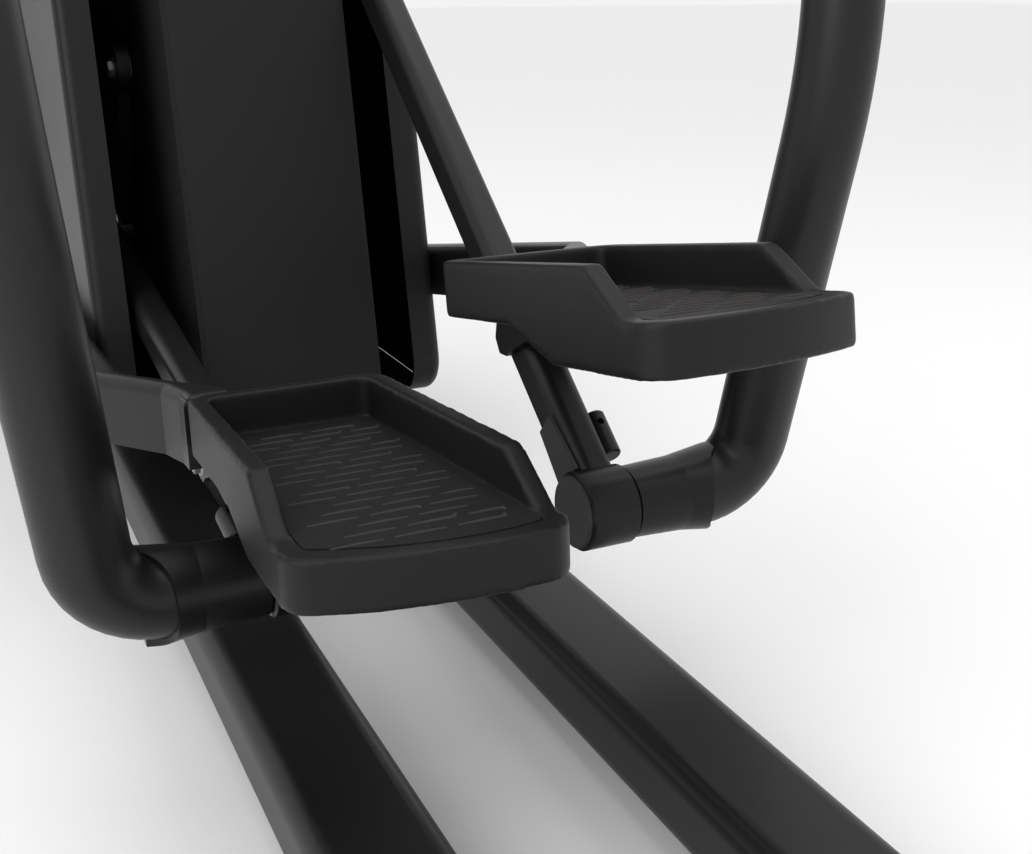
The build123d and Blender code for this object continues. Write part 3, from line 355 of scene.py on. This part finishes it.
def add_ridge(shape, points, width, height):
    """A low rounded ridge that follows the points, which lie in a plane."""
    rings = []
    count = len(points)
    for index, point in enumerate(points):
        before, after = points[max(index - 1, 0)], points[min(index + 1, count - 1)]
        along = (after - before).normalized()
        across = Vector((-along.y, along.x, 0))
        taper = 0.55 if index in (0, count - 1) else 1.0
        ring = []
        for step in range(RIDGE_STEPS + 1):
            angle = math.pi * step / RIDGE_STEPS
            offset = across * (math.cos(angle) * width / 2 * taper)
            ring.append(shape.verts.new(point + offset + Vector((0, 0, math.sin(angle) * height * taper))))
        rings.append(ring)
    for first, second in zip(rings, rings[1:]):
        for step in range(RIDGE_STEPS):
            shape.faces.new((first[step], first[step + 1], second[step + 1], second[step]))
        shape.faces.new((first[-1], first[0], second[0], second[-1]))
    shape.faces.new(rings[0][::-1])
    shape.faces.new(rings[-1])


def dash_points(start, length, hook, hand):
    """A straight dash that, where it has a hook, curls back at its far end."""
    points = [start, start + Vector((length * 0.5, 0, 0)), start + Vector((length, 0, 0))]
    if hook:
        radius = hook
        centre = points[-1] + Vector((0, hand * radius, 0))
        for step in range(1, 5):
            angle = -math.pi / 2 + step * math.pi / 5
            points.append(centre + Vector((math.cos(angle) * radius, hand * math.sin(angle) * radius, 0)))
    return points


def tread_ridges(name, node, settings, material):
    """Staggered rows of raised dashes, some hooked, over a tread mat."""
    place, (width, length) = flat_frame(node)
    shape = bmesh.new()
    rng = random.Random(11)
    rows = int((length - 2 * settings.margin) / settings.row_pitch)
    step = settings.dash_length + settings.dash_gap
    half_width = width / 2 - settings.margin
    for row in range(rows):
        ahead = -length / 2 + settings.margin + (row + 0.5) * settings.row_pitch
        aside = -half_width + (row % 3) * step / 3
        while aside + settings.dash_length * 0.6 < half_width:
            run = min(settings.dash_length, half_width - aside)
            hook = settings.row_pitch * 0.16 if rng.random() < 0.3 else 0.0
            points = dash_points(Vector((aside, ahead, 0)), run - hook, hook, rng.choice((-1, 1)))
            add_ridge(shape, points, settings.dash_width, settings.dash_height)
            aside += step
    mesh = bpy.data.meshes.new(name)
    bmesh.ops.recalc_face_normals(shape, faces=shape.faces)
    shape.transform(place)
    shape.to_mesh(mesh)
    shape.free()
    return add_piece(name, mesh, node, material)


def hex_bolt(name, node, centre, axis, across, height, material):
    """A flanged hexagon head with a chamfered crown, standing on a face."""
    shape = bmesh.new()
    flange = bmesh.ops.create_cone(
        shape, cap_ends=True, segments=40, radius1=across * 0.72, radius2=across * 0.66,
        depth=height * FLANGE_SHARE)
    bmesh.ops.translate(shape, verts=flange["verts"], vec=(0, 0, height * FLANGE_SHARE / 2))
    head = bmesh.ops.create_cone(
        shape, cap_ends=True, segments=6, radius1=across * HEX_CORNER, radius2=across * HEX_CORNER,
        depth=height * (1 - FLANGE_SHARE))
    bmesh.ops.translate(shape, verts=head["verts"], vec=(0, 0, height * (1 + FLANGE_SHARE) / 2))
    crown = [edge for edge in shape.edges if all(vertex in head["verts"] for vertex in edge.verts)]
    bmesh.ops.bevel(shape, geom=crown, offset=across * 0.05, segments=2, affect="EDGES")
    turn = Vector((0, 0, 1)).rotation_difference(axis).to_matrix().to_4x4()
    shape.transform(Matrix.Translation(centre) @ turn)
    mesh = bpy.data.meshes.new(name)
    shape.to_mesh(mesh)
    shape.free()
    return add_piece(name, mesh, node, material)


def extent_of(node):
    """A node's lowest and highest corners."""
    points = [vertex.co for vertex in frame["nodes"][node].data.vertices]
    low = Vector([min(point[axis] for point in points) for axis in range(3)])
    high = Vector([max(point[axis] for point in points) for axis in range(3)])
    return low, high


def outer_bolt(side, piece, node, across, height, material, at):
    """A bolt on a piece's outboard face, level with a given place."""
    low, high = extent_of(node)
    hand = 1 if side == "right" else -1
    place = at.copy()
    place.x = high.x if side == "right" else low.x
    hex_bolt(f"{side}_{piece}", node, place, Vector((hand, 0, 0)), across, height, material)


# --- operators ----------------------------------------------------------------------
class Finisher:
    """What the operators share: the settings and the finishing of carried-over nodes."""

    bl_options = {"REGISTER", "UNDO"}

    @staticmethod
    def finishes(context):
        return context.scene.trainer_finishes

    @staticmethod
    def cover(material, *nodes):
        for node in nodes:
            slots = frame["nodes"][node].data.materials
            slots.clear()
            slots.append(material)

    @staticmethod
    def paired(*names):
        return [f"{side}_{name}" for side in SIDES for name in names]


class TRAINER_OT_paint_steel(Finisher, bpy.types.Operator):
    """Powder-coat the frame, arms, rods, beams and links"""

    bl_idname = "trainer.paint_steel"
    bl_label = "Painted steel"

    def execute(self, context):
        look = self.finishes(context)
        paint = powder_coat("satin_powder_coat", tuple(look.paint), look.paint_roughness)
        self.cover(
            paint, "rails", "rear_cross_foot", "front_cross_foot", "base_crossmember", "mast",
            "console_bracket", "fixed_handlebar", "drive_frame", "brake_magnet", "rocker_axles",
            *self.paired("crank_arm", "swing_arm", "upper_handle", "rod_tube", "pedal_carriage", "foot_beam",
                         "rocker_link"))
        return {"FINISHED"}


class TRAINER_OT_mould_casing(Finisher, bpy.types.Operator):
    """Finish the central casing, rear panel, side shells and console housing"""

    bl_idname = "trainer.mould_casing"
    bl_label = "Casing mouldings"

    def execute(self, context):
        look = self.finishes(context)
        self.cover(moulding("etched_casing", tuple(look.casing), 0.52, 520.0, 0.5), "central_casing")
        smooth = moulding("smooth_casing", scaled(tuple(look.casing), 1.15), 0.36, 900.0, 0.06)
        self.cover(smooth, "rear_panel", "console_housing", *self.paired("side_shell"))
        return {"FINISHED"}


class TRAINER_OT_finish_metal(Finisher, bpy.types.Operator):
    """Finish axles, bearings, bushes, pulley, flywheel and bolts"""

    bl_idname = "trainer.finish_metal"
    bl_label = "Bare metal"

    def execute(self, context):
        steel = tuple(self.finishes(context).steel)
        self.cover(
            turned_metal("turned_steel", steel, 0.22), "wheel_axles", "swing_axle", "crank_bearings",
            "crank_axle", "flywheel_axle", *self.paired("rod_end_bearing"))
        self.cover(turned_metal("cast_flywheel", CAST_IRON, 0.4, 0.9), "flywheel")
        self.cover(turned_metal("pulley_alloy", PULLEY_ALLOY, 0.3), "drive_pulley")
        self.cover(turned_metal("sintered_bronze", BRONZE, 0.38), "pivot_bushes")
        self.fit_bolts(turned_metal("zinc_plated", ZINC, 0.34))
        return {"FINISHED"}

    @staticmethod
    def fit_bolts(material):
        joints = frame["record"]["behaviour"]["joints"]
        axis_of = {joint["child"]: Vector(joint["pos_m"]) for joint in joints}
        for side in SIDES:
            carriage, crank = axis_of[f"{side}_carriage"], axis_of["crank"]
            outer_bolt(side, "carriage_bolt", f"{side}_pedal_carriage", *CARRIAGE_BOLT, material, carriage)
            outer_bolt(side, "crank_bolt", f"{side}_crank_arm", *CRANK_BOLT, material, crank)


class TRAINER_OT_finish_hubs(Finisher, bpy.types.Operator):
    """Finish the hub collars, sleeves, end caps and plates"""

    bl_idname = "trainer.finish_hubs"
    bl_label = "Hubs"

    def execute(self, context):
        look = self.finishes(context)
        sleek = moulding("hub_cover", scaled(tuple(look.casing), 0.9), 0.27, 1100.0, 0.05)
        self.cover(sleek, *self.paired("hub_collar", "swing_sleeve"))
        caps = moulding("hub_cap_grey", tuple(look.cap), 0.42, 900.0, 0.12)
        self.cover(caps, *self.paired("hub_cap", "rod_gusset"))
        return {"FINISHED"}


class TRAINER_OT_finish_rubber(Finisher, bpy.types.Operator):
    """Finish feet, end caps, belt, wheels, grips and the screen"""

    bl_idname = "trainer.finish_rubber"
    bl_label = "Rubber and screen"

    def execute(self, context):
        self.cover(rubber("foot_rubber", FOOT_RUBBER), "foot_end_caps", "levelling_feet")
        self.cover(rubber("belt_rubber", BELT_RUBBER, 1400.0), "drive_belt")
        self.cover(rubber("wheel_rubber", WHEEL_RUBBER), *self.paired("transport_wheel"))
        grip = rubber("grip_rubber", GRIP_RUBBER, 700.0)
        self.cover(grip, "fixed_grips", *self.paired("handle_grip"))
        self.cover(glass_pane("screen_pane", SCREEN), "console_screen")
        return {"FINISHED"}


class TRAINER_OT_build_pedals(Finisher, bpy.types.Operator):
    """Mould the two pedals with rounded walls and lips"""

    bl_idname = "trainer.build_pedals"
    bl_label = "Pedals"

    def execute(self, context):
        plastic = moulding("pedal_moulding", tuple(self.finishes(context).pedal), 0.4, 760.0, 0.16)
        for side in SIDES:
            softened_moulding(f"{side}_pedal", f"{side}_pedal_shell", plastic, SKIN_VOXEL, SKIN_ROUNDS)
        return {"FINISHED"}


class TRAINER_OT_build_treads(Finisher, bpy.types.Operator):
    """Cover the tread mats and raise their dashes"""

    bl_idname = "trainer.build_treads"
    bl_label = "Tread mats"

    def execute(self, context):
        colour = tuple(self.finishes(context).tread)
        self.cover(rubber("tread_rubber", colour), *self.paired("tread_mat"))
        # the dashes get a copy of the tread rubber four times lighter: painted highlight where their raised
        # tops catch the light
        highlit_dash_rubber = rubber("tread_dash_rubber", scaled(colour, 4.0))
        for side in SIDES:
            tread_ridges(f"{side}_tread_dashes", f"{side}_tread_mat", context.scene.trainer_treads, highlit_dash_rubber)
        return {"FINISHED"}


class TRAINER_OT_set_stage(Finisher, bpy.types.Operator):
    """Lay the floor, hang the lights and place the camera"""

    bl_idname = "trainer.set_stage"
    bl_label = "Studio"

    def execute(self, context):
        settings = context.scene.trainer_stage
        self.lay_floor(settings)
        self.light_world(context, settings)
        self.hang("key_softbox", KEY_PLACE, KEY_SIZE, settings.key_power)
        self.hang("top_softbox", TOP_PLACE, TOP_SIZE, settings.top_power)
        self.place_camera(context, settings)
        return {"FINISHED"}

    @staticmethod
    def lay_floor(settings):
        half = FLOOR_HALF
        mesh = bpy.data.meshes.new("floor")
        corners = [(-half, -half, 0), (half, -half, 0), (half, half, 0), (-half, half, 0)]
        mesh.from_pydata(corners, [], [(0, 1, 2, 3)])
        mesh.materials.append(studio_floor("studio_floor", tuple(settings.floor)))
        floor = bpy.data.objects.new("floor", mesh)
        bpy.context.scene.collection.objects.link(floor)

    @staticmethod
    def light_world(context, settings):
        world = bpy.data.worlds.new("studio")
        context.scene.world = world
        world.use_nodes = True
        background = world.node_tree.nodes["Background"]
        background.inputs["Color"].default_value = (1.0, 1.0, 1.0, 1.0)
        background.inputs["Strength"].default_value = settings.sky
        context.scene.view_settings.view_transform = "Standard"

    @staticmethod
    def hang(name, place, size, power):
        data = bpy.data.lights.new(name, "AREA")
        data.shape = "SQUARE"
        data.size = size
        data.energy = power
        lamp = bpy.data.objects.new(name, data)
        lamp.location = place
        lamp.rotation_euler = (Vector(LIGHT_TARGET) - Vector(place)).to_track_quat("-Z", "Y").to_euler()
        bpy.context.scene.collection.objects.link(lamp)

    @staticmethod
    def place_camera(context, settings):
        look_down, look_right = math.radians(CAMERA_DOWN), math.radians(CAMERA_RIGHT)
        data = bpy.data.cameras.new("camera")
        data.sensor_width = CAMERA_SENSOR
        data.lens = settings.lens
        data.shift_x, data.shift_y = CAMERA_SHIFT
        camera = bpy.data.objects.new("camera", data)
        camera.location = CAMERA_PLACE
        camera.rotation_euler = (math.pi / 2 - look_down, 0.0, -look_right)
        bpy.context.scene.collection.objects.link(camera)
        context.scene.camera = camera


OPERATORS = (
    TRAINER_OT_paint_steel,
    TRAINER_OT_mould_casing,
    TRAINER_OT_finish_metal,
    TRAINER_OT_finish_hubs,
    TRAINER_OT_finish_rubber,
    TRAINER_OT_build_pedals,
    TRAINER_OT_build_treads,
    TRAINER_OT_set_stage,
)


class TRAINER_PT_sidebar(bpy.types.Panel):
    """Lists the trainer's settings and steps"""

    bl_label = "Elliptical trainer"
    bl_idname = "TRAINER_PT_sidebar"
    bl_space_type = "VIEW_3D"
    bl_region_type = "UI"
    bl_category = "Trainer"

    def draw(self, context):
        scene = context.scene
        for group in (scene.trainer_finishes, scene.trainer_treads, scene.trainer_stage):
            box = self.layout.box()
            for setting in group.__annotations__:
                box.prop(group, setting)
        for operator in OPERATORS:
            self.layout.operator(operator.bl_idname)


GROUPS = {
    "trainer_finishes": TrainerFinishes,
    "trainer_treads": TrainerTreads,
    "trainer_stage": TrainerStage,
}


def register():
    for name, group in GROUPS.items():
        bpy.utils.register_class(group)
        setattr(bpy.types.Scene, name, bpy.props.PointerProperty(type=group))
    for kind in (*OPERATORS, TRAINER_PT_sidebar):
        bpy.utils.register_class(kind)


def unregister():
    for kind in reversed((*OPERATORS, TRAINER_PT_sidebar)):
        bpy.utils.unregister_class(kind)
    for name, group in GROUPS.items():
        delattr(bpy.types.Scene, name)
        bpy.utils.unregister_class(group)


def main():
    register()
    for operator in OPERATORS:
        group, name = operator.bl_idname.split(".")
        getattr(getattr(bpy.ops, group), name)()


if __name__ == "__main__":
    main()
